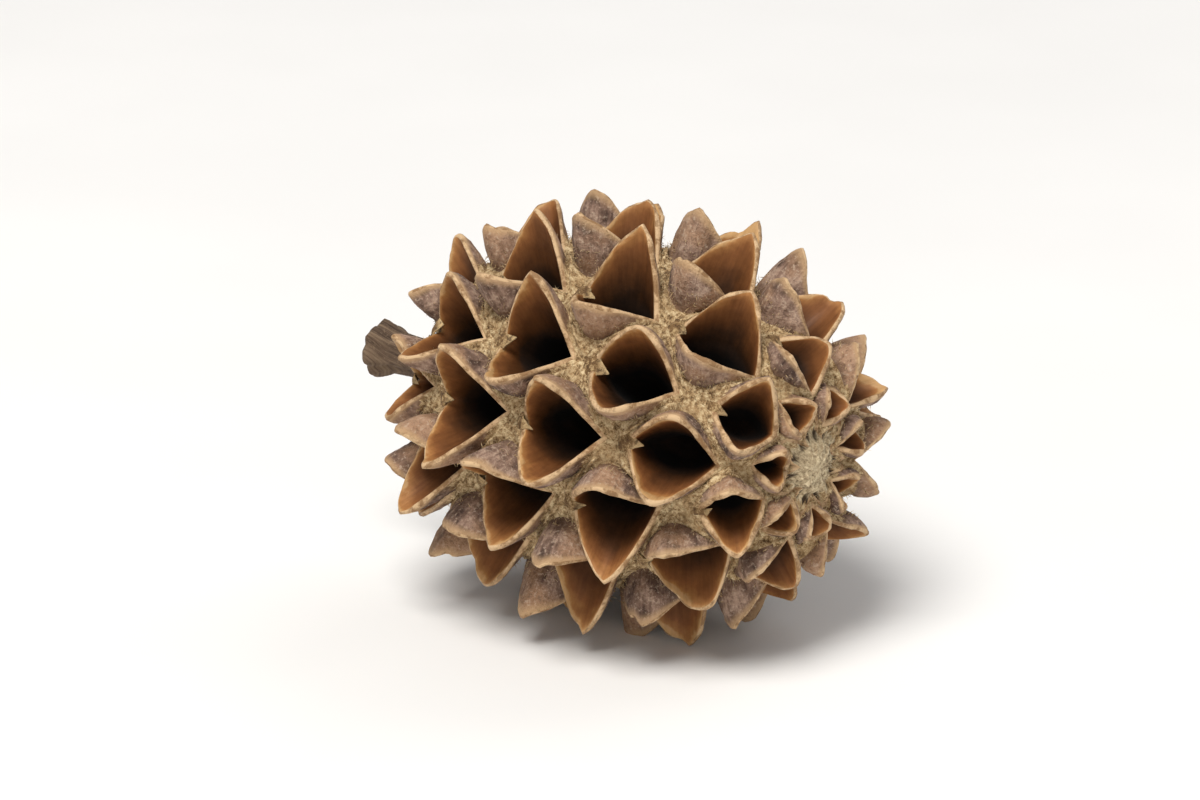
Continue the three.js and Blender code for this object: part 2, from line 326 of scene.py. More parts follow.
class Paint:
    """A material while it is being made."""

    def __init__(self, name: str) -> None:
        """Starts a material with a plain shader.

        Args:
            name: The material's name.
        """
        self.material = bpy.data.materials.new(name)
        self.material.use_nodes = True
        self.tree = self.material.node_tree
        self.shader = self.tree.nodes["Principled BSDF"]

    def feed(self, socket: Socket, value: object) -> None:
        """Feeds one input.

        Args:
            socket: The input.
            value: The output that feeds it, its own number or hex colour, or None to leave it.
        """
        if isinstance(value, Socket):
            self.tree.links.new(value, socket)
        elif value is not None:
            socket.default_value = linear(value) if isinstance(value, str) else value

    def add(self, kind: Node, *values: object, stops: tuple = (), **settings: object) -> Socket:
        """Adds one node with its settings and its links.

        Args:
            kind: The kind of node.
            *values: What feeds its inputs, in order.
            stops: A ramp's colours, each with the value that it stands at.
            **settings: Properties of the node itself.

        Returns:
            What the node gives.
        """
        name, inputs, output, usual = kind.value
        node = self.tree.nodes.new("ShaderNode" + name)
        for setting, value in (usual | settings).items():
            setattr(node, setting, value)
        for place, value in zip(inputs, values):
            self.feed(node.inputs[place], value)
        for _ in stops[2:]:
            node.color_ramp.elements.new(0.5)
        for number, (at, colour) in enumerate(stops):
            node.color_ramp.elements[number].position = at
            node.color_ramp.elements[number].color = linear(colour)
        return node.outputs[output]

    def finish(self, colour: Socket, dull: Socket | float,
               *relief: tuple[Socket, float]) -> Material:
        """Feeds the shader.

        Args:
            colour: Its colour.
            dull: How rough it is.
            *relief: Heights from 0 to 1, each with how high it stands in millimetres.

        Returns:
            The finished material.
        """
        normal = None
        for height, high in relief:
            normal = self.add(Node.BUMP, height, high * MM, normal)
        for name, value in (("Base Color", colour), ("Roughness", dull), ("Normal", normal)):
            self.feed(self.shader.inputs[name], value)
        return self.material


@dataclass(frozen=True)
class SaddleFinish:
    """The rusty felt on the saddles between the mouths, which reads as rough golden beige."""

    name: str = "felted_saddle"
    dark: str = "#50391f"
    middle: str = "#a2845c"
    pale: str = "#dbc69d"
    tuft: float = 0.24
    patch: float = 1.1

    def make(self) -> Material:
        """Makes the material: lumps of felt with pale ends and dark pits.

        Returns:
            The material.
        """
        paint = Paint(self.name)
        add, place = paint.add, paint.add(Node.PLACE)
        felt = add(Node.NOISE, place, scale(self.tuft), 4, 0.8)
        patch = add(Node.NOISE, place, scale(self.patch), 2, 0.5)
        tone = add(Node.RAMP, felt, stops=(
            (0.36, self.dark), (0.48, self.middle), (0.62, self.pale)))
        even = add(Node.SPAN, patch, 0.4, 0.7, 0.0, 0.45)
        return paint.finish(add(Node.MIX, even, tone, self.middle), 0.95,
                            (patch, 0.10), (felt, 0.07))


@dataclass(frozen=True)
class BackFinish:
    """The corky outside of a valve, rough greyish mauve brown with pale specks and fine fibres."""

    name: str = "corky_valve_back"
    dark: str = "#48342a"
    middle: str = "#826757"
    pale: str = "#b09480"
    tan: str = "#a57f5e"
    speck: str = "#c4ad97"
    rim: str = "#b8966e"
    foot: str = "#563c26"
    felt: str = "#96774f"
    lump: float = 0.9
    patch: float = 2.1
    grit: float = 0.19
    fibres: tuple[float, float, float] = (7.0, 0.8, 1)

    def make(self) -> Material:
        """Makes the material: mottled cork, streaks up the valve, specks, and a paler rim.

        Returns:
            The material.
        """
        paint = Paint(self.name)
        add, place = paint.add, paint.add(Node.PLACE)
        depth, lot, tip = (add(Node.KEPT, attribute_name=n) for n in ("depth", "lot", "tip"))
        cork = add(Node.NOISE, place, scale(self.lump), 4, 0.6)
        fibres = add(Node.NOISE, add(Node.STRETCH, add(Node.GRAIN), self.fibres), 1.0, 3, 0.6)
        speck = add(Node.NOISE, place, scale(self.grit), 3, 0.75)
        shade = add(Node.PLUS, add(Node.TIMES, cork, 0.6), add(Node.TIMES, fibres, 0.4))
        shade = add(Node.PLUS, shade, add(Node.TIMES, lot, 0.05))
        tone = add(Node.RAMP, shade, stops=(
            (0.38, self.dark), (0.50, self.middle), (0.62, self.pale)))
        patch = add(Node.NOISE, place, scale(self.patch), 2, 0.5)
        warm = add(Node.PLUS, patch, add(Node.TIMES, lot, 0.10))
        corner = add(Node.MIX, speck, self.foot, self.felt)
        for share, colour in (
            (add(Node.SPAN, warm, 0.46, 0.64, 0.0, 0.65), self.tan),
            (add(Node.SPAN, speck, 0.52, 0.66, 0.0, 0.55), self.speck),
            (add(Node.SPAN, speck, 0.46, 0.34, 0.0, 0.45), self.dark),
            # Near the mouth's corners the back is mottled with the saddle's felt, and towards its
            # foot it is darker.
            (add(Node.SPAN, tip, 0.45, 0.12, 0.0, 0.85), corner),
            (add(Node.SPAN, depth, 1.35, 1.0, 0.0, 0.6), self.foot),
            (add(Node.SPAN, depth, 1.74, 1.97, 0.0, 0.75), self.rim),
        ):
            tone = add(Node.MIX, share, tone, colour)
        return paint.finish(tone, 0.88, (cork, 0.15), (fibres, 0.07), (speck, 0.08))


@dataclass(frozen=True)
class RimFinish:
    """The bare edge of a valve, a thin pale tan line of cut-looking wood."""

    name: str = "pale_valve_rim"
    pale: str = "#c8a880"
    worn: str = "#8c6a45"
    patch: float = 0.6
    grit: float = 0.12

    def make(self) -> Material:
        """Makes the material: pale wood, worn darker in places.

        Returns:
            The material.
        """
        paint = Paint(self.name)
        add, place = paint.add, paint.add(Node.PLACE)
        wear = add(Node.NOISE, place, scale(self.patch), 4, 0.75)
        fine = add(Node.NOISE, place, scale(self.grit), 2, 0.6)
        tone = add(Node.RAMP, wear, stops=((0.42, self.worn), (0.56, self.pale)))
        return paint.finish(tone, 0.72, (wear, 0.04), (fine, 0.02))


@dataclass(frozen=True)
class LiningFinish:
    """The smooth hard inside of a valve, satin golden brown that darkens to near black below,
    partly its own stain and mostly painted shade of the deep chamber.
    """

    name: str = "smooth_valve_lining"
    rim: str = "#c39a68"
    edge: str = "#a97645"
    upper: str = "#865631"
    # The two darkest colours are mostly painted shade deep in the chamber, with a little of its own
    # stain.
    middle: str = "#5c381d"
    lower_stain_and_shade: str = "#2c1a0c"
    deep: str = "#080402"
    veil: str = "#a3968a"
    cloud: float = 1.2
    streaks: tuple[float, float, float] = (6.0, 0.7, 1)
    specular: float = 0.2

    def make(self) -> Material:
        """Makes the material: a ramp down the chamber, mostly painted shade, with fine lengthwise
        streaks.

        Returns:
            The material.
        """
        paint = Paint(self.name)
        add, place = paint.add, paint.add(Node.PLACE)
        depth, lot = (add(Node.KEPT, attribute_name=n) for n in ("depth", "lot"))
        streaks = add(Node.NOISE, add(Node.STRETCH, add(Node.GRAIN), self.streaks), 1.0, 3, 0.65)
        cloud = add(Node.NOISE, place, scale(self.cloud), 4, 0.55)
        shift = add(Node.TIMES, add(Node.LESS, cloud, 0.5), 0.55)
        down = add(Node.PLUS, add(Node.LINE, depth, INSIDE, 4.25), shift)
        down = add(Node.PLUS, down, add(Node.TIMES, lot, 0.05))
        # The ramp darkens with depth to near black at the chamber's floor: a little stain, mostly
        # painted shade.
        tone = add(Node.RAMP, down, stops=(
            (0.0, self.rim), (0.05, self.edge), (0.18, self.upper), (0.44, self.middle),
            (0.74, self.lower_stain_and_shade), (1.0, self.deep)))
        veil = add(Node.RAMP, streaks, stops=((0.34, self.veil), (0.62, "#ffffff")))
        gloss = add(Node.SPAN, cloud, 0.35, 0.65, 0.50, 0.64)
        paint.shader.inputs["Specular IOR Level"].default_value = self.specular
        dull = add(Node.MOST, gloss, add(Node.SPAN, depth, 3.6, 4.1))
        tone = add(Node.TINT, 0.35, tone, veil)
        return paint.finish(tone, dull, (streaks, 0.015), (cloud, 0.06))


@dataclass(frozen=True)
class DiscFinish:
    """The blunt tip and its rays, a pale straw with a little grey green, dry and granular, with
    painted shade in the gaps between the rays.
    """

    name: str = "straw_tip_disc"
    # Painted shade for the gaps between the rays.
    gap: str = "#3b2b1b"
    dark: str = "#7a664a"
    middle: str = "#bba786"
    pale: str = "#e0d0ad"
    grit: float = 0.14
    patch: float = 0.9

    def make(self) -> Material:
        """Makes the material: grains of pale straw, with painted shade in the gaps between the
        rays.

        Returns:
            The material.
        """
        paint = Paint(self.name)
        add, place = paint.add, paint.add(Node.PLACE)
        grain = add(Node.NOISE, place, scale(self.grit), 3, 0.7)
        patch = add(Node.NOISE, place, scale(self.patch), 2, 0.5)
        tone = add(Node.RAMP, grain, stops=(
            (0.34, self.dark), (0.50, self.middle), (0.66, self.pale)))
        tone = add(Node.MIX, add(Node.SPAN, patch, 0.4, 0.7, 0.0, 0.3), tone, self.middle)
        # Away from the rays and the knob, the gap colour paints the shade of the gaps between them.
        ray = add(Node.SPAN, add(Node.KEPT, attribute_name="lot"), 0.08, 0.6)
        return paint.finish(add(Node.MIX, ray, self.gap, tone), 0.92, (patch, 0.05), (grain, 0.06))


@dataclass(frozen=True)
class StalkFinish:
    """The bark of the stalk, grey brown and fibrous, with a paler scar at its end."""

    name: str = "fibrous_stalk"
    dark: str = "#3b2b1f"
    middle: str = "#64503e"
    pale: str = "#87725a"
    scar: str = "#9e7f59"
    grit: float = 0.15
    fibres: tuple[float, float, float] = (3.2, 0.35, 1)

    def make(self) -> Material:
        """Makes the material: long fibres and flecks, and torn wood on the scar.

        Returns:
            The material.
        """
        paint = Paint(self.name)
        add, place = paint.add, paint.add(Node.PLACE)
        fibres = add(Node.NOISE, add(Node.STRETCH, add(Node.GRAIN), self.fibres), 1.0, 4, 0.65)
        speck = add(Node.NOISE, place, scale(self.grit), 3, 0.7)
        tone = add(Node.RAMP, fibres, stops=(
            (0.34, self.dark), (0.50, self.middle), (0.66, self.pale)))
        tone = add(Node.MIX, add(Node.SPAN, speck, 0.55, 0.70, 0.0, 0.5), tone, self.pale)
        ragged = add(Node.TIMES, add(Node.LESS, speck, 0.5), 0.9)
        torn = add(Node.PLUS, add(Node.KEPT, attribute_name="depth"), ragged)
        wood = add(Node.RAMP, speck, stops=((0.40, self.middle), (0.58, self.scar)))
        tone = add(Node.MIX, add(Node.SPAN, torn, 0.35, 0.65), tone, wood)
        return paint.finish(tone, 0.9, (fibres, 0.12), (speck, 0.05))


@dataclass(frozen=True)
class BractFinish:
    """The small dry scale at a mouth's corner, papery and tan with frayed pale ends."""

    name: str = "papery_bract"
    root: str = "#755835"
    end: str = "#cdb182"
    fleck: str = "#422d19"
    grit: float = 0.22

    def make(self) -> Material:
        """Makes the material: dark at the root, pale at the points, with brown flecks.

        Returns:
            The material.
        """
        paint = Paint(self.name)
        add = paint.add
        fleck = add(Node.NOISE, add(Node.PLACE), scale(self.grit), 4, 0.8)
        up = add(Node.SPAN, add(Node.KEPT, attribute_name="depth"), 0.45, 1.0)
        tone = add(Node.MIX, up, self.root, self.end)
        tone = add(Node.MIX, add(Node.SPAN, fleck, 0.50, 0.62, 0.0, 0.6), tone, self.end)
        tone = add(Node.MIX, add(Node.SPAN, fleck, 0.49, 0.38, 0.0, 0.8), tone, self.fleck)
        return paint.finish(tone, 0.9, (fleck, 0.07))


@dataclass(frozen=True)
class HairFinish:
    """The short rusty hairs on the saddles, pale gold where the light catches their ends."""

    name: str = "saddle_hairs"
    root: str = "#8f6c40"
    end: str = "#e6cd9f"

    def make(self) -> Material:
        """Makes the material: darker at the root of a hair than at its end.

        Returns:
            The material.
        """
        paint = Paint(self.name)
        up = paint.add(Node.KEPT, attribute_name="depth")
        return paint.finish(paint.add(Node.MIX, up, self.root, self.end), 0.7)


@dataclass(frozen=True)
class FloorFinish:
    """The floor's matt paint, near white, so that the cone's shadow reads."""

    name: str = "pale_floor"
    pale: str = "#f2f1ef"
    dark: str = "#efeeec"
    cloud: float = 20.0

    def make(self) -> Material:
        """Makes the material: two whites in wide soft clouds.

        Returns:
            The material.
        """
        paint = Paint(self.name)
        cloud = paint.add(Node.NOISE, paint.add(Node.PLACE), scale(self.cloud), 2, 0.5)
        share = paint.add(Node.SPAN, cloud, 0.3, 0.7)
        return paint.finish(paint.add(Node.MIX, share, self.pale, self.dark), 0.8)


# ---------------------------------------------------------------- the cone's net of lozenges


class Zone(Enum):
    """The parts of a chamber's skin, each with its finish."""

    SADDLE = SaddleFinish()
    BACK = BackFinish()
    RIM = RimFinish()
    LINING = LiningFinish()
    DISC = DiscFinish()

    @property
    def number(self) -> int:
        """The zone's place in the skin's list of materials."""
        return list(Zone).index(self)


@dataclass(frozen=True)
class Skin:
    """The surface that the corners of the mouths lie in, in millimetres along the cone's axis."""

    profile: tuple[tuple[float, float], ...] = (
        (0.00, 1.15), (-0.15, 2.45), (-0.90, 3.87), (-2.95, 5.05), (-5.20, 5.85), (-7.55, 6.26),
        (-9.90, 6.34), (-12.25, 6.12), (-14.50, 5.56), (-16.35, 4.55), (-17.55, 3.10),
    )
    members: int = 7
    first_whorl: int = -1
    last_whorl: int = 7
    top_row: int = 4

    @property
    def rows(self) -> int:
        """How many rows of mouths there are round the cone."""
        return 2 * self.members

    @property
    def row_step(self) -> float:
        """The angle from row to row."""
        return math.pi / self.members

    def curve(self, share: Array) -> Array:
        """Gives places on the profile.

        Args:
            share: How far down it they are, from 0 to 1.

        Returns:
            Two columns, x and radius.
        """
        points = np.array(self.profile)
        last = len(points) - 1
        place = last * np.asarray(share, float)
        at = np.minimum(np.floor(place).astype(int), last)
        u = (place - at)[..., None]
        p0, p1, p2, p3 = (points[np.clip(at + step, 0, last)] for step in (-1, 0, 1, 2))
        v0 = (p2 - p0) / 2
        v1 = (p3 - p1) / 2
        cubic = (2 * p1 - 2 * p2 + v0 + v1) * u ** 3
        return cubic + (-3 * p1 + 3 * p2 - 2 * v0 - v1) * u ** 2 + v0 * u + p1

    def section(self, t: Array | float) -> tuple[Array, Array, Array]:
        """Gives where whorls lie on the profile.

        Args:
            t: Whorl positions.

        Returns:
            The places, the ways along the profile and the ways out of it.
        """
        share = (np.asarray(t, float) - self.first_whorl + 1) / (len(self.profile) - 1)
        share = np.clip(share, 0, 1)
        step = self.curve(np.minimum(1, share + 1e-4)) - self.curve(np.maximum(0, share - 1e-4))
        along = step / np.linalg.norm(step, axis=-1, keepdims=True)
        return self.curve(share), along, np.stack([along[..., 1], -along[..., 0]], -1)

    def angle(self, k: Array | float) -> Array | float:
        """Gives the angle round the axis that a row lies at."""
        return QUARTER_TURN + (k - self.top_row) * self.row_step

    def point(self, k: Array, t: Array, lift: Array) -> Array:
        """Gives points of the skin, lifted along its normal.

        Args:
            k: Row positions.
            t: Whorl positions.
            lift: How far out of the skin.

        Returns:
            Three columns.
        """
        place, _, out = self.section(t)
        angle = self.angle(np.asarray(k))
        radius = place[..., 1] + lift * out[..., 1]
        return np.stack([
            place[..., 0] + lift * out[..., 0], -radius * np.cos(angle), radius * np.sin(angle),
        ], -1)

    def mouths(self) -> list[tuple[int, int]]:
        """Lists the row and whorl of every mouth, every second row in each whorl."""
        whorls = range(self.first_whorl, self.last_whorl + 1)
        return [(k, j) for j in whorls for k in range(self.rows) if (k + j) % 2 == 0]


@dataclass
class Chamber:
    """One seed chamber with its two valves: where it sits, and the rings that its skin follows.

    The fields after steps are sizes as shares of the lozenge or in millimetres, and powers that
    say how round the mouth and the valves are. The last ones say how far one chamber or valve may
    be from the usual, with the twist in degrees. Places are like the skin's.
    """

    skin: Skin
    k: int
    j: int
    steps: int
    mouth_across: float = 0.67
    mouth_along: float = 0.72
    second_along: float = 0.60
    first_mouth: tuple[float, float] = (0.42, 0.46)
    first_rise: float = 0.9
    mouth_round: float = 1.8
    mouth_point: float = 0.85
    valve_rise: float = 0.86
    valve_round: float = 1.60
    valve_point: float = 0.80
    valve_wall: float = 0.62
    foot_across: float = 0.78
    foot_lift: float = -0.08
    valley_lift: float = 0.10
    ridge_lift: float = 0.75
    shake: float = 0.04
    shake_lift: float = 0.12
    floor_radius: float = 2.9
    shallowest: float = 0.9
    deepest: float = 4.0
    width_varies: float = 0.10
    length_varies: float = 0.04
    rise_varies: float = 0.12
    blunt_varies: float = 0.20
    most_twist: float = 5.0
    most_lopsided: float = 0.10
    most_lean: float = 0.09
    most_gape: float = 0.10
    peak_rise: float = 0.035
    peak_width: float = 0.09
    wave_rise: tuple[float, float] = (0.022, 0.014)
    chip_width: float = 0.10
    chip_depth: float = 0.11

    def __post_init__(self) -> None:
        """Works out the chamber's axes and sizes and the steps round it."""
        skin, k, j = self.skin, self.k, self.j
        place, along, out = skin.section(j)
        angle = skin.angle(k)
        aside = np.array([0, -math.cos(angle), math.sin(angle)])
        self.centre = skin.point(np.array(k), np.array(j), 0.0)
        self.along = np.array([along[0], 0, 0]) + along[1] * aside
        self.out = np.array([out[0], 0, 0]) + out[1] * aside
        self.round = np.array([0, math.sin(angle), math.cos(angle)])
        self.half_round = float(place[1]) * skin.row_step
        before, after = skin.section(j - 1)[0], skin.section(j + 1)[0]
        self.half_along = 0.5 * float(np.linalg.norm(after - before))
        small = j == skin.first_whorl
        wide, long = self.first_mouth if small else (self.mouth_across, self.mouth_along)
        if j == skin.first_whorl + 1:
            long = self.second_along
        self.across = wide * self.half_round * self.vary(self.width_varies, Draw.MOUTH_WIDTH)
        self.length = long * self.half_along * self.vary(self.length_varies, Draw.MOUTH_LENGTH)
        self.rise = (self.valve_rise * self.half_round * (self.first_rise if small else 1)
                     * self.vary(self.rise_varies, Draw.VALVE_RISE))
        self.twist = math.radians(self.most_twist) * float(draw(k, j, Draw.TWIST))
        self.lopsided = self.most_lopsided * float(draw(k, j, Draw.LOPSIDED))
        deep = (float(place[1]) - self.floor_radius) / max(0.55, float(out[1]))
        self.floor_depth = max(self.shallowest, min(self.deepest, deep))
        m = np.arange(self.steps)
        side = self.steps // 4
        quadrant = m // side
        part = (m % side) / side
        self.share = np.where(quadrant % 2 == 0, part, 1 - part)
        self.sign_round = np.where((quadrant == 0) | (quadrant == 3), 1.0, -1.0)
        self.sign_along = np.where(quadrant < 2, 1.0, -1.0)
        self.tip = 1 - self.share
        self.turn = self.share * math.pi / 2

    def vary(self, amount: float, which: Draw) -> float:
        """Gives a factor near 1 that this chamber draws for one of its sizes."""
        return 1 + amount * float(draw(self.k, self.j, which))

    def valve_draw(self, which: Draw) -> Array:
        """Gives each step a number from -1 to 1 that its valve draws."""
        return draw(self.k + np.where(self.sign_round > 0, 0.3, -0.3), self.j, which)

    def place(self, across: Array, along: Array, out: Array) -> Array:
        """Gives places from the chamber's own axes.

        Args:
            across: Round the cone.
            along: Along the cone, towards the stalk.
            out: Out of the skin.

        Returns:
            Three columns.
        """
        turn, lean = math.cos(self.twist), math.sin(self.twist)
        across, along, out = (np.asarray(a, float)[..., None] for a in (across, along, out))
        return (self.centre + self.round * (across * turn - along * lean)
                + self.along * (across * lean + along * turn) + self.out * out)

    def level_ring(self, wide: float, long: float, depth: float) -> Array:
        """Gives a ring of the chamber's own outline.

        Args:
            wide: Its width, as a share of the mouth's.
            long: Its length, likewise.
            depth: How far below the skin it is.

        Returns:
            Three columns.
        """
        return self.place(
            self.sign_round * self.across * wide * self.mouth_width(),
            self.sign_along * self.length * long * self.share,
            np.full(self.steps, -depth),
        )

    def mouth_width(self) -> Array:
        """Gives half the mouth's width at each step, as a share."""
        return (1 - self.share ** self.mouth_round) ** self.mouth_point

    def net_line(self) -> Array:
        """Gives the side of the lozenge, which runs smoothly through the solid's quarter points.

        Returns:
            A point for each step.
        """
        quarters = np.arange(5) / 4
        weights = np.ones((self.steps, 5))
        for q in range(5):
            for p in range(5):
                if p != q:
                    weights[:, q] *= (self.share - quarters[p]) / (quarters[q] - quarters[p])
        k = self.k + self.sign_round[:, None] * (1 - quarters[None])
        t = self.j + self.sign_along[:, None] * quarters[None]
        return np.einsum("mq,mqc->mc", weights, self.net_vertex(k, t))

    def net_vertex(self, k: Array, t: Array) -> Array:
        """Gives points of the net, the same for every chamber that meets there.

        Args:
            k: Row positions, in quarters.
            t: Whorl positions, in quarters.

        Returns:
            Three columns.
        """
        quarter = np.floor(t * 4 + 0.5)
        row = np.floor(k * 4 + 0.5) % (self.skin.rows * 4)
        off = quarter % 4
        fade = np.minimum(1, self.skin.section(t)[0][..., 1] / 6.5)
        ridge = np.sin(math.pi * off / 4)
        lift = (self.valley_lift + (self.ridge_lift - self.valley_lift) * ridge) * fade
        shake = np.where(off == 0, 1.0, 0.5)
        return self.skin.point(
            row / 4 + self.shake * shake * draw(row, quarter, Draw.NET_ROW),
            t + self.shake * shake * draw(row, quarter, Draw.NET_WHORL),
            lift + self.shake_lift * shake * draw(row, quarter, Draw.NET_LIFT),
        )

    def sideways(self) -> Array:
        """Gives the way from the mouth's middle towards each step of its rim."""
        return (self.round * (self.sign_round * np.cos(self.turn))[:, None]
                + self.along * (self.sign_along * np.sin(self.turn))[:, None])

    def rim_lines(self) -> tuple[Array, Array]:
        """Gives the solid's rim, with each valve's own outline.

        Returns:
            Its outer and its inner line.
        """
        blunt = self.valve_round * (1 + self.blunt_varies * self.valve_draw(Draw.BLUNT))
        near_tip = np.exp(-(self.share / self.peak_width) ** 2)
        peak = self.peak_rise * (1 + self.valve_draw(Draw.PEAK)) * near_tip
        height = (1 - self.share ** blunt) ** self.valve_point * (0.965 + peak) * self.wear()
        tall = 1 + self.sign_round * self.lopsided
        width = self.across * self.mouth_width() * tall
        along = self.length * self.share
        lean = self.tip ** 1.5 * self.length * self.most_lean * self.valve_draw(Draw.LEAN)
        gape = self.tip ** 1.5 * self.across * self.most_gape * self.valve_draw(Draw.GAPE)
        inner = self.place(self.sign_round * (width + gape), self.sign_along * along + lean,
                           self.rise * height * tall)
        inside = width / self.half_round + along / self.half_along
        slope = math.hypot(1 / self.half_round, 1 / self.half_along)
        room = np.maximum(0.02, (0.97 - inside) / slope)
        free = self.valve_wall * (1 + 0.08 * self.tip)
        low = np.minimum(free, room)
        high = np.minimum(free, 0.55 * self.half_round)
        wall = low + (high - low) * self.tip ** 2
        outer = self.place(
            self.sign_round * (width + gape + wall * np.cos(self.turn)),
            self.sign_along * (along + wall * 0.8 * np.sin(self.turn)) + lean,
            self.rise * (height * tall - 0.03) - 0.05 * self.share,
        )
        return outer, inner

    def wear(self) -> Array:
        """Gives how the rims wave, and where they are chipped.

        Returns:
            For each step, a share near 1 of the height.
        """
        place = self.sign_along * self.share
        phase = 3 * self.valve_draw(Draw.WAVE)
        slow, fast = self.wave_rise
        wave = slow * np.sin(6.5 * place + phase) + fast * np.sin(13 * place + 2 * phase)
        chip_at = 0.55 * self.valve_draw(Draw.CHIP_PLACE)
        chip = self.chip_depth * smooth(0.2, 0.9, self.valve_draw(Draw.CHIP_DEPTH))
        notch = chip * np.exp(-((place - chip_at) / self.chip_width) ** 2)
        return 1 + (wave - notch) * smooth(1.0, 0.7, self.share)

    def foot_line(self, net: Array, outer: Array) -> Array:
        """Gives the line where a valve's back rises out of the saddle.

        Args:
            net: The side of the lozenge.
            outer: The outer line of the rim.

        Returns:
            A point for each step.
        """
        reach = self.across * self.mouth_width() + self.valve_wall
        foot = self.place(
            self.sign_round * self.foot_across * reach,
            self.sign_along * self.length * self.share,
            np.full(self.steps, self.foot_lift),
        )
        drawn = 0.95 if self.j > self.skin.first_whorl + 1 else 0.45
        half = (outer + net) / 2
        return half + (foot - half) * (self.tip * (2 - self.tip) * drawn)[:, None]


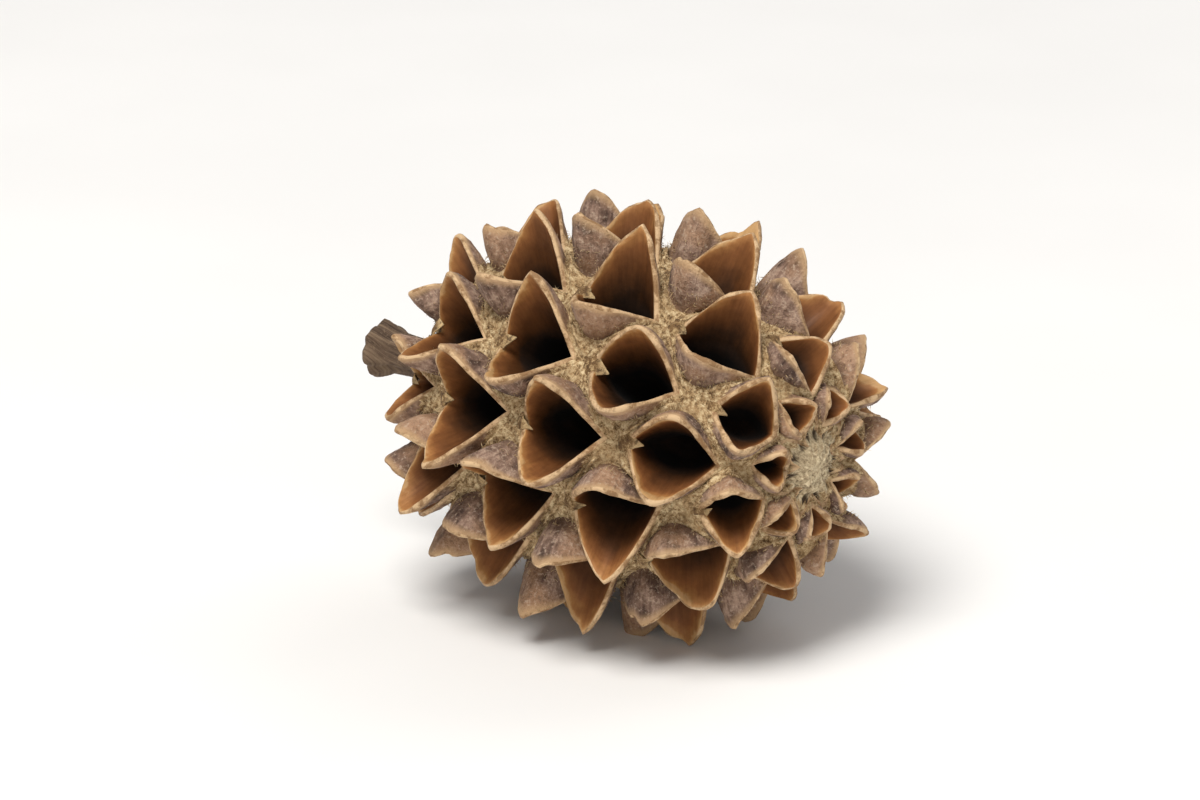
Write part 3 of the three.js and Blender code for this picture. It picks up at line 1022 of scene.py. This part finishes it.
@dataclass
class ConeSkin:
    """The whole woody skin: one chamber modelled once, copied to each mouth and grown together.

    The first tuples are the places of the rings, as shares of the way down each zone. Crest and
    hollow say how a valve's back and lining bulge: a share of the way between their ends, and
    millimetres sideways. Sizes are in millimetres, and so are the lumps' widths. Each relief gives
    how high a zone's coarse lumps stand, and its fine ones.
    """

    skin: Skin = field(default_factory=Skin)
    steps: int = 56
    saddle: tuple[float, ...] = (0.0, 0.22, 0.44, 0.66, 0.84, 0.95)
    back: tuple[float, ...] = (0.0, 0.12, 0.27, 0.43, 0.59, 0.75, 0.89, 1.0)
    rim: tuple[float, ...] = (0.25, 0.5, 0.75, 1.0)
    rim_rise: tuple[float, ...] = (0.7, 1.0, 0.7, 0.0)
    lining: tuple[float, ...] = (0.10, 0.24, 0.40, 0.58, 0.78, 1.0)
    shaft: tuple[float, ...] = (0.35, 0.7, 1.0)
    throat: tuple[float, float, float] = (0.52, 0.90, 0.75)
    floor: tuple[float, float] = (0.26, 0.42)
    rim_thickness: float = 0.20
    rim_uneven: float = 0.24
    rim_place: float = 0.55
    crest: tuple[float, float] = (0.62, 0.10)
    hollow: tuple[float, float] = (0.5, 0.30)
    disc_radius: float = 0.95
    disc_x: float = 0.34
    disc_rings: tuple[float, ...] = (0.12, 0.25, 0.38, 0.50, 0.61, 0.71, 0.80, 0.87, 0.94, 1.0)
    neck_rings: tuple[float, ...] = (0.25, 0.5, 0.75, 1.0)
    neck_radius: float = 0.85
    neck_x: float = -18.15
    pip_radius: float = 0.08
    knob_rise: float = 0.24
    gap_depth: float = 0.26
    ray_rise: float = 0.12
    felt_lumps: float = 0.45
    cork_lumps: float = 0.85
    fine_lumps: float = 0.22
    saddle_relief: tuple[float, float] = (0.10, 0.05)
    back_relief: tuple[float, float] = (0.065, 0.025)
    rim_relief: tuple[float, float] = (0.03, 0.02)
    disc_relief: tuple[float, float] = (0.13, 0.07)

    def depths(self) -> Array:
        """Lists how deep each ring lies: 1 at the foot, 2 and 3 at the rim, 4 at the throat."""
        zones = (self.saddle, self.back, self.rim, self.lining, self.shaft)
        return np.array([depth + u for depth, zone in enumerate(zones) for u in zone])

    def model_unit(self) -> Object:
        """Models one chamber as rings of a narrowing well, one ring for each line of its skin.

        Returns:
            The unit.
        """
        bpy.ops.mesh.primitive_circle_add(vertices=self.steps, fill_type="NOTHING")
        with edited(bpy.context.object):
            for _ in self.depths():
                bpy.ops.mesh.extrude_edges_move(TRANSFORM_OT_translate={"value": (0, 0, -RING_GAP)})
            bpy.ops.mesh.merge(type="CENTER")
        return bpy.context.object

    def rings(self, c: Chamber) -> Array:
        """Gives every ring of one chamber, from its lozenge to its floor.

        Args:
            c: The chamber.

        Returns:
            An array of rings by steps by three.
        """
        tip = c.tip[:, None]
        aside = c.sideways()
        net = c.net_line()
        outer_solid, inner_solid = c.rim_lines()
        foot = c.foot_line(net, outer_solid)
        across = inner_solid - outer_solid
        wide = np.linalg.norm(across, axis=1, keepdims=True)
        unit = across / np.maximum(wide, 1e-6)
        phase = 5 * draw(c.k, c.j, Draw.RIM_WIDTH)
        uneven = 1 + self.rim_uneven * np.sin(9 * c.sign_along * c.share + phase)[:, None]
        half = 0.5 * np.minimum(self.rim_thickness * uneven, 0.8 * wide)
        middle = outer_solid + across * self.rim_place
        outer, inner = middle - unit * half, middle + unit * half
        throat_width, throat_length, throat_depth = self.throat
        throat = c.level_ring(throat_width, throat_length, min(throat_depth, 0.4 * c.floor_depth))
        floor = c.level_ring(*self.floor, c.floor_depth)
        (crest_at, crest_out), (hollow_at, hollow_out) = self.crest, self.hollow
        crest = foot + (outer_solid - foot) * crest_at + aside * (crest_out * tip)
        hollow = inner_solid + (throat - inner_solid) * hollow_at + aside * (hollow_out * tip)
        edge = [outer + (inner - outer) * u + c.out * 0.5 * (rise * half)
                for u, rise in zip(self.rim, self.rim_rise)]
        return np.array([
            *(net + (foot - net) * u for u in self.saddle),
            *bow(foot, crest, outer, self.back), *edge,
            *bow(inner, hollow, throat, self.lining),
            *(throat + (floor - throat) * u for u in self.shaft),
        ])

    def grow_copy(self, unit: Object, k: int, j: int) -> Object:
        """Copies the modelled chamber to one mouth and gives it that mouth's own shape.

        Args:
            unit: The modelled chamber.
            k: The mouth's row.
            j: The mouth's whorl.

        Returns:
            The copy, with a mesh of its own.
        """
        copy = unit.copy()
        copy.data = unit.data.copy()
        bpy.context.scene.collection.objects.link(copy)
        chamber = Chamber(self.skin, k, j, self.steps)
        rings = self.rings(chamber)
        depths = self.depths()
        flat = unit_corners(unit)
        ring = np.floor(-flat[:, 2] / RING_GAP + 0.5).astype(int)
        step = np.floor(np.arctan2(flat[:, 1], flat[:, 0]) / TURN * self.steps + 0.5)
        step = step.astype(int) % self.steps
        last = len(depths) - 1
        centre = ring > last
        ring = np.minimum(ring, last)
        points = rings[ring, step]
        points[centre] = rings[last].mean(0) - chamber.out * 0.15
        put(copy.data, points)
        shares, sides = chamber.share[step], chamber.sign_round[step]
        lots = draw(k + 0.31 * sides, j, Draw.LOT) * smooth(0.4, 1.2, depths[ring])
        keep(copy.data, "depth", np.where(centre, FLOOR, depths[ring]))
        keep(copy.data, "tip", np.where(centre, 0.5, 1 - shares))
        keep(copy.data, "lot", lots)
        gaps = np.linalg.norm(np.diff(rings, axis=0), axis=2).mean(1)
        length = np.concatenate([[0], np.cumsum(gaps)])
        # The grain of every valve starts at a place of its own, so that no two look alike.
        wide = chamber.sign_along[step] * shares * chamber.length + 7.3 * k + 0.4 * sides
        set_grain(copy.data, np.stack([wide, length[ring] + 11.9 * j], -1))
        return copy

    def join(self, copies: list[Object]) -> Object:
        """Joins the copies and merges the lines of the net that they share.

        Args:
            copies: A copy for each mouth.

        Returns:
            The skin, open at both ends.
        """
        bpy.ops.object.select_all(action="DESELECT")
        for copy in copies:
            copy.select_set(True)
        bpy.context.view_layer.objects.active = copies[0]
        bpy.ops.object.join()
        with edited(bpy.context.object):
            bpy.ops.mesh.remove_doubles(threshold=2e-6)
        return bpy.context.object

    def close_end(self, obj: Object, disc: bool) -> None:
        """Draws the open edge at one end together in rings and closes it.

        Args:
            obj: The skin.
            disc: Whether it is the end with the disc.
        """
        with edited(obj, "DESELECT"):
            bpy.ops.mesh.select_mode(type="VERT")
            bpy.ops.mesh.select_non_manifold(
                extend=False, use_wire=False, use_boundary=True, use_multi_face=False,
                use_non_contiguous=False, use_verts=False)
        mesh = obj.data
        points = places(mesh)
        picked = read(mesh.vertices, "select", 1, bool) & ((points[:, 0] > MIDDLE_X) == disc)
        ends = read(mesh.edges, "vertices", 2, int)
        picked_edges = read(mesh.edges, "select", 1, bool) & picked[ends].all(1)
        mesh.vertices.foreach_set("select", picked)
        mesh.edges.foreach_set("select", picked_edges)
        mesh.polygons.foreach_set("select", np.zeros(len(mesh.polygons), bool))
        edge = points[picked]
        rule, shares, deep = ((self.disc_rule, self.disc_rings, DISC) if disc
                              else (self.neck_rule, self.neck_rings, NECK))
        for share in shares:
            with edited(obj, ""):
                bpy.ops.mesh.extrude_edges_move()
            picked = read(mesh.vertices, "select", 1, bool)
            points = places(mesh)
            points[picked] = rule(edge[self.match(edge, points[picked])], share)
            put(mesh, points)
            depth = kept(mesh, "depth")
            depth[picked] = deep
            keep(mesh, "depth", depth)
        with edited(obj, ""):
            bpy.ops.mesh.extrude_edges_move()
            bpy.ops.mesh.merge(type="CENTER")

    def match(self, edge: Array, moved: Array) -> Array:
        """Finds which point of the edge each moved point came from, by its angle round the axis."""
        apart = polar(moved)[1][:, None] - polar(edge)[1][None]
        return np.abs((apart + TURN / 2) % TURN - TURN / 2).argmin(1)

    def disc_rule(self, edge: Array, share: float) -> Array:
        """Gives the points of the disc end at a share of the way in from its edge.

        Args:
            edge: The points of the edge.
            share: How far in, from 0 to 1.

        Returns:
            The points.
        """
        start, angle = polar(edge)
        radius = start + (self.pip_radius - start) * share
        knob = self.disc_x + self.knob_rise - self.knob_rise * (radius / self.disc_radius) ** 3
        knob = np.maximum(knob, edge[:, 0] - 0.05)
        near = smooth(1.55, 0.95, radius)
        ray = self.rays(radius, angle)
        gap = smooth(0.74, 0.98, radius) * smooth(1.9, 1.4, radius) * share
        x = edge[:, 0] * (1 - near) + knob * near
        return around(x - self.gap_depth * gap * (1 - ray) + self.ray_rise * ray, radius, angle)

    def rays(self, radius: Array, angle: Array) -> Array:
        """Gives how much of a ray there is at places of the disc end, long and short by turns.

        Args:
            radius: How far the places are from the axis.
            angle: The way that they lie from it.

        Returns:
            Numbers from 0, in a gap, to 1, on a ray.
        """
        row = (angle - QUARTER_TURN) / self.skin.row_step + 0.16 * np.sin(3 * angle + 1) * radius
        long_ray = np.cos(math.pi * row / 2) ** 6 * smooth(2.4, 1.6, radius)
        short_ray = np.sin(math.pi * row / 2) ** 6 * smooth(1.5, 1.15, radius)
        return smooth(0.6, 0.95, radius) * np.maximum(long_ray, short_ray)

    def neck_rule(self, edge: Array, share: float) -> Array:
        """Gives the points of the shoulder at a share of the way in to the stalk.

        Args:
            edge: The points of the edge.
            share: How far in, from 0 to 1.

        Returns:
            The points.
        """
        start, angle = polar(edge)
        x = edge[:, 0] + (self.neck_x - edge[:, 0]) * math.sin(share * math.pi / 2)
        return around(x, start + (self.neck_radius - start) * share, angle)

    def roughen(self, obj: Object) -> None:
        """Raises the skin's felt, cork and ragged rims, by moves of its corners of up to 0.2 mm.

        Args:
            obj: The skin.
        """
        mesh = obj.data
        points = places(mesh)
        depth = kept(mesh, "depth")
        felt = ripple(points, self.felt_lumps, 3, 1.0)
        cork = ripple(points, self.cork_lumps, 3, 2.0)
        fine = ripple(points, self.fine_lumps, 2, 3.0)
        saddle = 1 - smooth(0.9, 1.15, depth)
        back = smooth(0.95, 1.2, depth) * (1 - smooth(1.8, 2.1, depth))
        rim = smooth(1.85, 2.2, depth) * (1 - smooth(2.8, 3.15, depth))
        disc = smooth(5.4, 5.9, depth)
        high = disc * -0.02
        for zone, lumps, (coarse, small) in (
            (saddle, felt, self.saddle_relief), (back, cork, self.back_relief),
            (rim, cork, self.rim_relief), (disc, felt, self.disc_relief),
        ):
            high += zone * (coarse * lumps + small * fine)
        put(mesh, points + facing(mesh) * high[:, None])
        radius, angle = polar(points)
        # On the disc, lot keeps where the rays and the knob are; the disc's finish paints shade in
        # the gaps between them.
        unshaded_rays_and_knob = np.maximum(self.rays(radius, angle), smooth(1.08, 0.92, radius))
        keep(mesh, "lot", np.where(disc > 0.5, unshaded_rays_and_knob, kept(mesh, "lot")))

    def level(self, obj: Object) -> None:
        """Cuts the lowest tips level with the floor, where the cone's weight has worn them.

        Args:
            obj: The skin.
        """
        with edited(obj):
            bpy.ops.mesh.bisect(
                plane_co=(0, 0, 0.002 * MM), plane_no=(0, 0, 1), clear_inner=True, use_fill=True,
                threshold=1e-8)

    def dress(self, obj: Object) -> None:
        """Gives each zone of the skin its finish.

        Args:
            obj: The skin.
        """
        mesh = obj.data
        for zone in Zone:
            mesh.materials.append(zone.value.make())
        points = places(mesh)
        depth, tip, x, radius = (face_mean(mesh, values) for values in (
            kept(mesh, "depth"), kept(mesh, "tip"), points[:, 0], polar(points)[0]))
        cap = depth > FLOOR + 0.1
        on_disc = cap & (x > MIDDLE_X) & (radius < self.disc_radius * 1.6)
        numbers = np.full(len(depth), Zone.SADDLE.number)
        for part, zone in (
            ((depth > FOOT - 0.01) & (tip > 0.2 + 0.3 * (1.6 - depth)), Zone.BACK),
            (depth > RIM - 0.01, Zone.RIM), (depth > INSIDE, Zone.LINING),
            (cap, Zone.SADDLE), (on_disc, Zone.DISC),
        ):
            numbers[part] = zone.number
        mesh.polygons.foreach_set("material_index", numbers)
        smooth_faces(mesh)

    def build(self) -> Object:
        """Builds, roughens and dresses the skin.

        Returns:
            The finished piece.
        """
        unit = self.model_unit()
        copies = [self.grow_copy(unit, k, j) for k, j in self.skin.mouths()]
        bpy.data.objects.remove(unit)
        obj = self.join(copies)
        self.close_end(obj, disc=True)
        self.close_end(obj, disc=False)
        closed_wall(obj)
        self.roughen(obj)
        self.level(obj)
        self.dress(obj)
        return settle(obj, "cone_skin")


# ---------------------------------------------------------------- bracts and hairs


@dataclass
class Bracts:
    """The small ragged scales at the stalk's side of each mouth and on the shoulder.

    Sizes are in millimetres, and points gives where the three points stand across a scale. The
    shoulder's profile is where it starts, how far it drops, its radius and its width, and its
    rings are the radius and the size of each ring of scales.
    """

    skin: Skin = field(default_factory=Skin)
    points: tuple[float, ...] = (-0.34, 0.02, 0.36)
    reach: float = 1.8
    width: float = 0.92
    length: float = 0.78
    thickness: float = 0.13
    first_whorl: int = 0
    varies: float = 0.2
    shoulder_rings: tuple[tuple[float, float], ...] = ((2.35, 1.35), (1.60, 1.15), (0.95, 0.90))
    shoulder_profile: tuple[float, float, float, float] = (-17.2, 0.95, 3.5, 2.65)
    lumps: float = 0.2
    relief: float = 0.05

    def model_unit(self) -> Object:
        """Models one scale from a grid, with points drawn out of its far edge and its thickness.

        Returns:
            The unit.
        """
        columns = 2 * len(self.points) + 1
        bpy.ops.mesh.primitive_grid_add(x_subdivisions=columns, y_subdivisions=4, size=1)
        unit = bpy.context.object
        for number, across in enumerate(self.points):
            column = (2 * number + 1.5) / columns - 0.5
            with edited(unit, "DESELECT"):
                bpy.ops.mesh.select_mode(type="VERT")
            for corner in unit.data.vertices:
                corner.select = corner.co.y > 0.49 and abs(corner.co.x - column) < 0.6 / columns
            with edited(unit, ""):
                bpy.ops.transform.translate(value=(0, 0.8 - abs(across), 0))
                bpy.ops.transform.resize(value=(0.45, 1, 1))
        with edited(unit):
            bpy.ops.mesh.extrude_region_move(TRANSFORM_OT_translate={"value": (0, 0, RING_GAP)})
        return unit

    def torn(self, flat: Array, k: float, j: float, size: float) -> tuple[Array, Array, Array]:
        """Gives the modelled scale the sizes, bend and torn edge of one copy.

        Args:
            flat: The corners of the modelled scale.
            k: The row that the copy stands in.
            j: Its whorl.
            size: How large the copy is, where 1 is the usual size.

        Returns:
            For each corner, its places across the scale, along it from its root and out of it.
        """
        x, y, z = flat.T
        wide = self.width * size * (1 + self.varies * float(draw(k, j, Draw.BRACT_WIDTH)))
        long = 1.3 * self.length * size
        long *= 1 + self.varies * float(draw(k, j, Draw.BRACT_LENGTH))
        beyond = np.maximum(y - 0.5, 0)
        point = np.abs(x[:, None] - np.array([-2, 0, 2]) / 7).argmin(1)
        stays = 0.55 + 0.45 * draw(point, k + 0.37 * j, Draw.BRACT_POINTS)
        stays = np.where(point == 1, 0.75 + 0.25 * stays, stays)
        reach = (np.minimum(y, 0.5) + 0.5 + beyond * stays) / self.reach
        reach *= 1 - 0.40 * np.abs(2 * x) ** 1.5
        bent = beyond * draw(point, k + 0.37 * j, Draw.BRACT_BENDS)
        across = x * wide * (1.25 - 0.45 * reach) + 0.20 * bent * wide
        across += 0.18 * float(draw(k, j, Draw.BRACT_LEAN)) * reach * wide
        crown = 0.16 + 0.30 * np.sin(reach * 2.6) - 0.9 * x ** 2 * (1 - reach)
        crown += 0.10 * float(draw(k, j, Draw.BRACT_LIFT)) * reach + 0.12 * bent
        thin = z / RING_GAP * self.thickness * (1 - 0.72 * (y + 0.5) / self.reach)
        return across, reach * long, size * (crown + thin) - 0.16

    def on_shoulder(self, flat: Array, row: float, radius: float, size: float) -> Array:
        """Gives the places of one scale on the shoulder, which points away from the stalk.

        Args:
            flat: The corners of the modelled scale.
            row: The row that it stands in.
            radius: How far its root is from the axis.
            size: How large it is.

        Returns:
            Three columns.
        """
        across, forward, out = self.torn(flat, row, 20 * radius, size)
        angle = QUARTER_TURN + row * self.skin.row_step
        start, drop, most, width = self.shoulder_profile
        from_axis = radius + forward
        share = np.clip((most - from_axis) / width, 0, 1)
        return np.stack([
            start - drop * np.sin(share * math.pi / 2) - out,
            from_axis * math.cos(angle) - across * math.sin(angle),
            from_axis * math.sin(angle) + across * math.cos(angle),
        ], -1)

    def build(self) -> Object:
        """Lays a scale at each mouth and in rings on the shoulder, each torn in its own way.

        Returns:
            The finished piece.
        """
        unit = self.model_unit()
        flat = unit_corners(unit)
        copies = []
        for k, j in self.skin.mouths():
            if j >= self.first_whorl:
                chamber = Chamber(self.skin, k, j, ConeSkin.steps)
                size = min(1.0, chamber.half_round / 2.2)
                across, forward, out = self.torn(flat, k, j, size)
                copies.append(chamber.place(across, chamber.length + 0.52 * size - forward, out))
        for ring, (radius, size) in enumerate(self.shoulder_rings):
            for number in range(self.skin.members):
                row = 2 * number + ring % 2 + 0.25 * float(draw(number, ring, Draw.BRACT_PLACE))
                copies.append(self.on_shoulder(flat, row, radius, size))
        obj = many_copies("bracts", unit, np.array(copies))
        closed_wall(obj)
        shaggy = places(obj.data)
        shaggy += self.relief * facing(obj.data) * ripple(shaggy, self.lumps, 2, 8.0)[:, None]
        put(obj.data, shaggy)
        keep(obj.data, "depth", np.tile((flat[:, 1] + 0.5) / self.reach, len(copies)))
        obj.data.materials.append(BractFinish().make())
        return settle(obj, "bracts")


@dataclass
class Hairs:
    """The short rusty hairs that stand on the felted saddles and the feet of the valves.

    Sizes are in millimetres. Real hairs are several times thinner, too fine to show. The leans are
    how far a hair may lean and how far all lean to the disc, as shares of its length, as the curl
    is. The feet of the valves have a share of the saddles' hairs.
    """

    count: int = 12000
    short: float = 0.10
    long: float = 0.36
    thick: float = 0.019
    sunk: float = 0.03
    lean: float = 0.55
    lean_to_disc: float = 0.25
    curl: float = 0.22
    on_feet: float = 0.45
    seed: int = 11

    def model_unit(self) -> Object:
        """Models one hair: a triangle drawn up in two steps to a point.

        Returns:
            The unit.
        """
        bpy.ops.mesh.primitive_circle_add(vertices=3, fill_type="NGON")
        unit = bpy.context.object
        with edited(unit):
            bpy.ops.mesh.extrude_region_move(TRANSFORM_OT_translate={"value": (0, 0, 0.5)})
            bpy.ops.transform.resize(value=(0.7, 0.7, 1))
            bpy.ops.mesh.extrude_region_move(TRANSFORM_OT_translate={"value": (0, 0, 0.5)})
            bpy.ops.mesh.merge(type="CENTER")
        closed_wall(unit)
        return unit

    def roots(self, mesh: Mesh, rng: np.random.Generator) -> tuple[Array, Array]:
        """Picks where the hairs stand.

        Args:
            mesh: The mesh of the cone's skin.
            rng: The seeded source of picks.

        Returns:
            The roots and the way the skin faces there, in millimetres.
        """
        numbers = read(mesh.polygons, "material_index", 1, int)
        depth = face_mean(mesh, kept(mesh, "depth"))
        felt = (numbers == Zone.SADDLE.number) & (depth < 1.8)
        foot = (numbers == Zone.BACK.number) & (depth < 1.35)
        weight = read(mesh.polygons, "area") * (felt + foot * self.on_feet)
        corners, starts, totals = face_corners(mesh)
        points = places(mesh)
        # Blender's own order of the faces, and of a face's corners, changes from run to run, so
        # both are put in the order of the grain, and the hairs stand in the same places each run.
        radius, grain = polar(points)[0], grain_of(mesh)
        across, along = (np.add.reduceat(grain[:, n], starts) / totals for n in (0, 1))
        order = np.lexsort((face_mean(mesh, radius), along, across))
        weight = weight[order]
        picks = order[rng.choice(len(weight), self.count, p=weight / weight.sum())]
        starts, totals = starts[picks], totals[picks]
        key = grain[:, 0] + 0.37 * grain[:, 1] + 0.01 * radius[corners]
        first = np.array([key[a:a + n].argmin() for a, n in zip(starts, totals)])
        shares = rng.dirichlet((1, 1, 1), self.count)
        three = corners[starts[:, None] + (first[:, None] + np.arange(3)) % totals[:, None]]
        root = np.einsum("nc,ncx->nx", shares, points[three])
        face = np.einsum("nc,ncx->nx", shares, facing(mesh)[three])
        return root, face / np.linalg.norm(face, axis=1, keepdims=True)

    def build(self, skin: Object) -> Object:
        """Stands the hairs on the skin, each bent and leaning its own way.

        Args:
            skin: The cone's skin.

        Returns:
            The finished piece.
        """
        rng = np.random.default_rng(self.seed)
        unit = self.model_unit()
        flat = unit_corners(unit)
        root, face = self.roots(skin.data, rng)
        lean = rng.normal(0, self.lean, (self.count, 3)) + np.array([self.lean_to_disc, 0, 0])
        way = face + lean - face * np.einsum("nx,nx->n", lean, face)[:, None]
        way /= np.linalg.norm(way, axis=1, keepdims=True)
        side = np.cross(way, rng.normal(0, 1, (self.count, 3)))
        side /= np.linalg.norm(side, axis=1, keepdims=True)
        other = np.cross(way, side)
        long = self.short + (self.long - self.short) * rng.random(self.count) ** 1.6
        thick = self.thick * rng.uniform(0.7, 1.3, self.count)
        bend = rng.normal(0, self.curl, self.count) * long
        up = flat[:, 2]
        aside = thick[:, None] * flat[:, 0][None] + bend[:, None] * up[None] ** 2
        points = (
            root[:, None] - face[:, None] * self.sunk
            + way[:, None] * (long[:, None] * up[None])[..., None]
            + side[:, None] * aside[..., None]
            + other[:, None] * (thick[:, None] * flat[:, 1][None])[..., None]
        )
        obj = many_copies("hairs", unit, points)
        keep(obj.data, "depth", np.tile(up, self.count))
        obj.data.materials.append(HairFinish().make())
        return settle(obj, "hairs")


# ---------------------------------------------------------------- the stalk


@dataclass
class Stalk:
    """The short stalk, which widens to the scar where it came off the twig, in millimetres."""

    neck_x: float = -17.95
    length: float = 4.5
    neck: float = 0.92
    waist: float = 0.80
    flare: float = 1.24
    bend: float = 0.55
    sides: int = 64
    rows: int = 30
    members: int = 7
    scar_rings: tuple[float, ...] = (0.90, 0.88, 0.86, 0.80, 0.66, 0.45)
    scar_depth: float = 0.22
    ribs: tuple[float, float] = (0.06, 0.03)
    fibres: float = 0.35
    relief: float = 0.05

    def radius(self, share: Array) -> Array:
        """Gives the stalk's radius.

        Args:
            share: How far along it, from 0 at the neck to 1 at the scar.

        Returns:
            The radius there.
        """
        shares = [0.0, 0.06, 0.27, 0.56, 0.81, 0.92, 0.97, 1.0]
        radii = [self.neck * 1.15, self.neck, self.waist * 1.04, self.waist, self.waist * 1.10,
                 self.flare * 0.92, self.flare * 0.97, self.flare * 0.86]
        return np.interp(share, shares, radii)

    def model_unit(self) -> Object:
        """Models a plain stalk from a circle, extruded in rows and closed at both ends.

        Returns:
            The unit.
        """
        bpy.ops.mesh.primitive_circle_add(vertices=self.sides, fill_type="NGON")
        with edited(bpy.context.object):
            for _ in range(self.rows):
                bpy.ops.mesh.extrude_region_move(
                    TRANSFORM_OT_translate={"value": (0, 0, -RING_GAP)})
            for size in self.scar_rings:
                bpy.ops.mesh.inset(thickness=1e-5)
                bpy.ops.transform.resize(value=(size, size, 1))
        return bpy.context.object

    def build(self) -> Object:
        """Bends, ribs and roughens the plain stalk, and dresses it.

        Returns:
            The finished piece.
        """
        obj = self.model_unit()
        mesh = obj.data
        x, y, z = unit_corners(obj).T
        share = np.clip(-z / (RING_GAP * self.rows), 0, 1)
        inward, angle = np.hypot(x, y), np.arctan2(y, x)
        broad, narrow = self.ribs
        ribs = (broad * np.cos(self.members * angle + 2.5 * share)
                + narrow * np.cos(13 * angle - 1.5 * share + 0.7)) * inward ** 3
        radius = self.radius(share) * (1 + ribs) * inward
        sink = self.scar_depth * smooth(1.0, 0.3, inward) * (share > 0.99)
        put(mesh, np.stack([
            self.neck_x - self.length * share + sink,
            -self.bend * share ** 2 + radius * np.cos(angle),
            0.4 * self.bend * share + radius * np.sin(angle),
        ], -1))
        closed_wall(obj)
        points = places(mesh)
        drawn_out = points * np.array([0.35, 1, 1])
        high = self.relief * ripple(drawn_out, self.fibres, 3, 5.0)
        put(mesh, points + facing(mesh) * high[:, None])
        keep(mesh, "depth", smooth(0.985, 0.999, share) * smooth(0.95, 0.70, inward))
        set_grain(mesh, np.stack([points[:, 1] * 2 + points[:, 2] * 1.3, points[:, 0]], -1))
        mesh.materials.append(StalkFinish().make())
        smooth_faces(mesh)
        return settle(obj, "stalk")


# ---------------------------------------------------------------- studio


@dataclass(frozen=True)
class Lamp:
    """One large soft disc of light: its place and width in metres, power in watts, and colour."""

    name: str
    where: tuple[float, float, float]
    size: float
    power: float
    colour: tuple[float, float, float]

    def hang(self, aim: Vector) -> None:
        """Hangs the light.

        Args:
            aim: The place that it points at.
        """
        data = bpy.data.lights.new(self.name, "AREA")
        data.shape = "DISK"
        data.size = self.size
        data.energy = self.power
        data.color = self.colour
        lamp = bpy.data.objects.new(self.name, data)
        lamp.location = self.where
        lamp.rotation_euler = (aim - Vector(self.where)).to_track_quat("-Z", "Y").to_euler()
        bpy.context.scene.collection.objects.link(lamp)


@dataclass
class Studio:
    """The pale floor, the soft light and the camera, with sizes in metres and angles in degrees."""

    azimuth: float = 40.0
    elevation: float = 19.0
    lens: float = 180.0
    distance: float = 0.245
    floor_size: float = 2.4
    aim_height: float = 0.008
    sky: tuple[float, float, float, float] = (0.98, 0.98, 1.0, 1.0)
    sky_strength: float = 0.27
    lamps: tuple[Lamp, ...] = (
        Lamp("key", (0.06, -0.25, 0.50), 0.30, 3.2, (1.0, 0.98, 0.95)),
        Lamp("fill", (0.42, -0.46, 0.16), 0.40, 0.75, (1.0, 0.97, 0.92)),
        Lamp("back", (0.10, 0.50, 0.50), 0.50, 0.9, (1.0, 1.0, 1.0)),
    )

    def floor(self) -> None:
        """Lays a wide pale floor under the cone."""
        bpy.ops.mesh.primitive_plane_add(size=self.floor_size, location=(0, 0, 0))
        floor = bpy.context.object
        floor.name = "floor"
        floor.data.materials.append(FloorFinish().make())
        floor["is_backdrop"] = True

    def camera(self) -> None:
        """Sets the camera at the photograph's viewing angle."""
        data = bpy.data.cameras.new("camera")
        data.lens = self.lens
        data.clip_start = 0.01
        data.clip_end = 20
        camera = bpy.data.objects.new("camera", data)
        turn, rise = math.radians(self.azimuth), math.radians(self.elevation)
        back = Vector((
            math.sin(turn) * math.cos(rise), -math.cos(turn) * math.cos(rise), math.sin(rise),
        ))
        low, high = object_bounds()
        camera.location = (low + high) / 2 + back * self.distance
        camera.rotation_euler = (-back).to_track_quat("-Z", "Y").to_euler()
        bpy.context.scene.collection.objects.link(camera)
        bpy.context.scene.camera = camera

    def build(self) -> None:
        """Sets up the whole studio."""
        self.floor()
        for lamp in self.lamps:
            lamp.hang(Vector((0, 0, self.aim_height)))
        world = bpy.data.worlds.new("studio")
        world.use_nodes = True
        sky = world.node_tree.nodes["Background"]
        sky.inputs["Color"].default_value = self.sky
        sky.inputs["Strength"].default_value = self.sky_strength
        bpy.context.scene.world = world
        bpy.context.scene.view_settings.view_transform = "Standard"
        self.camera()
        LOG.info("studio ready")


def main() -> None:
    """Builds the pieces in order, then the studio."""
    logging.basicConfig(level=logging.INFO, format="%(name)s %(message)s")
    skin = ConeSkin().build()
    Bracts().build()
    Hairs().build(skin)
    Stalk().build()
    Studio().build()


if __name__ == "__main__":
    main()
